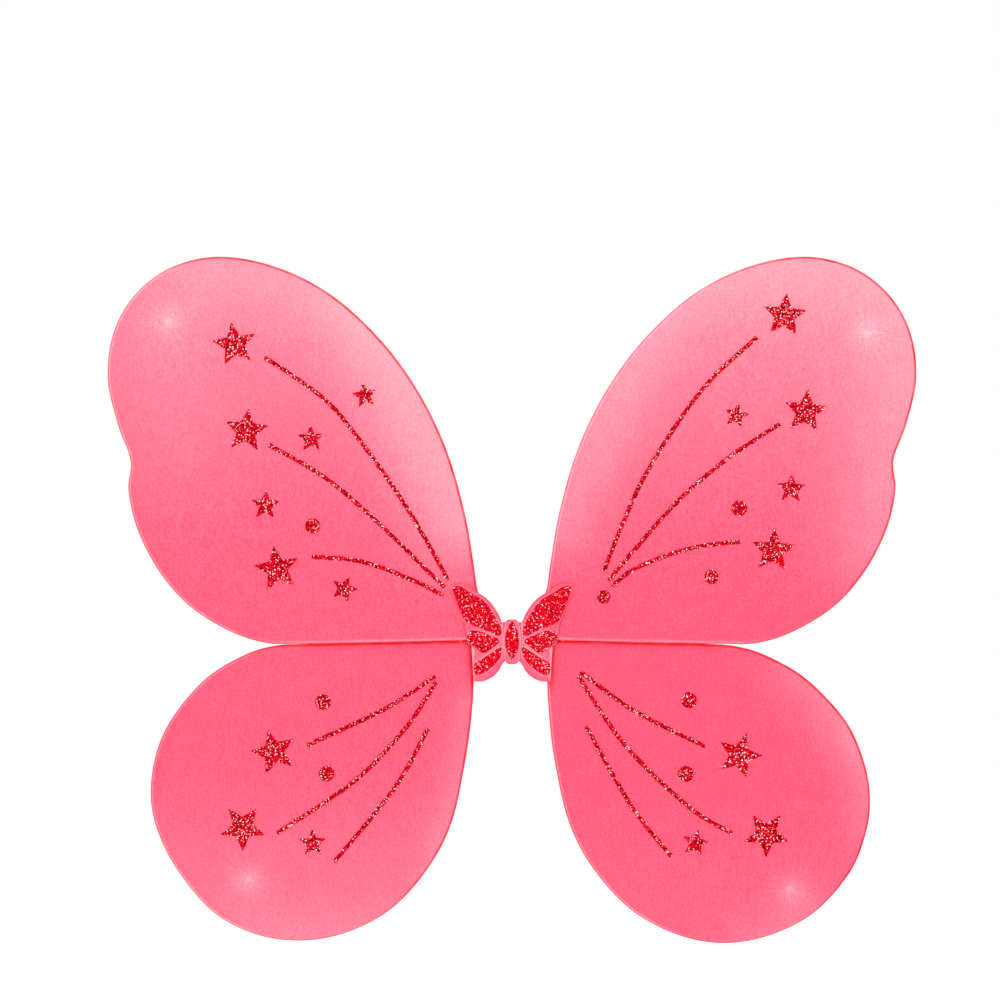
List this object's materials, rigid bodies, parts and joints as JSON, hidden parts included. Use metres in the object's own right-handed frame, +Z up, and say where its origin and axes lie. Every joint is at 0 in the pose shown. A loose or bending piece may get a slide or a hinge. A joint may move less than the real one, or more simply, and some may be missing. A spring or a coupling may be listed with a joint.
{
  "type": "fairy wings",
  "caption": "Child's pink fairy wings: stretched mesh on wire loops with printed glitter stars, a glitter butterfly patch in the middle, and a felt back pad with elastic arm loops.",
  "frame": {"origin": "centre of the back pad's rear face, which lies on the wearer's back", "axes": "+Z up towards the head, +X to the right as seen from behind the wearer, +Y out of the pad towards the wearer; the decorated face looks along -Y"},
  "size_m": [0.404, 0.0455, 0.3431],
  "materials": {
    "mesh": "sheer pink stretch nylon, pulled taut, with a soft sheen",
    "patch_fabric": "soft satin-faced pink fabric",
    "glitter": "dense red glitter flakes in clear glue",
    "wire": "bare drawn steel wire",
    "thread": "pink polyester thread",
    "glue": "cloudy hot-melt glue",
    "felt": "matt pink felt",
    "elastic": "white woven elastic with ribbed edges"
  },
  "bodies": {
    "core": {"core_wire_twist": "wire", "core_binding": "thread", "front_glue": "glue", "rear_glue": "glue", "patch_body": "patch_fabric", "patch_body_glitter": "glitter", "pad_front_felt": "felt", "back_pad": "felt", "pad_stitching": "thread", "strap_tabs": "elastic", "strap_bartacks": "thread"},
    "left_upper_wing": {"left_upper_wire": "wire", "left_upper_mesh": "mesh", "left_upper_glitter": "glitter", "left_upper_root_tie": "thread", "left_upper_patch": "patch_fabric", "left_upper_patch_glitter": "glitter", "left_upper_patch_glue": "glue"},
    "left_lower_wing": {"left_lower_wire": "wire", "left_lower_mesh": "mesh", "left_lower_glitter": "glitter", "left_lower_root_tie": "thread", "left_lower_patch": "patch_fabric", "left_lower_patch_glitter": "glitter", "left_lower_patch_glue": "glue"},
    "right_upper_wing": {"right_upper_wire": "wire", "right_upper_mesh": "mesh", "right_upper_glitter": "glitter", "right_upper_root_tie": "thread", "right_upper_patch": "patch_fabric", "right_upper_patch_glitter": "glitter", "right_upper_patch_glue": "glue"},
    "right_lower_wing": {"right_lower_wire": "wire", "right_lower_mesh": "mesh", "right_lower_glitter": "glitter", "right_lower_root_tie": "thread", "right_lower_patch": "patch_fabric", "right_lower_patch_glitter": "glitter", "right_lower_patch_glue": "glue"},
    "left_arm_loop": {"left_strap": "elastic"},
    "right_arm_loop": {"right_strap": "elastic"}
  },
  "joints": [
    {"name": "left_upper_fold", "type": "hinge", "parent": "core", "child": "left_upper_wing", "pos_m": [-0.0048, -0.0103, 0], "axis": [0, 0, 1], "range_deg": [0, 85]},
    {"name": "left_lower_fold", "type": "hinge", "parent": "core", "child": "left_lower_wing", "pos_m": [-0.0048, -0.0103, 0], "axis": [0, 0, 1], "range_deg": [0, 85]},
    {"name": "right_upper_fold", "type": "hinge", "parent": "core", "child": "right_upper_wing", "pos_m": [0.0048, -0.0103, 0], "axis": [0, 0, -1], "range_deg": [0, 85]},
    {"name": "right_lower_fold", "type": "hinge", "parent": "core", "child": "right_lower_wing", "pos_m": [0.0048, -0.0103, 0], "axis": [0, 0, -1], "range_deg": [0, 85]},
    {"name": "left_loop_swing", "type": "hinge", "parent": "core", "child": "left_arm_loop", "pos_m": [-0.02, -0.0019, 0], "axis": [0, 0, 1], "range_deg": [-45, 20]},
    {"name": "right_loop_swing", "type": "hinge", "parent": "core", "child": "right_arm_loop", "pos_m": [0.02, -0.0019, 0], "axis": [0, 0, -1], "range_deg": [-45, 20]}
  ]
}
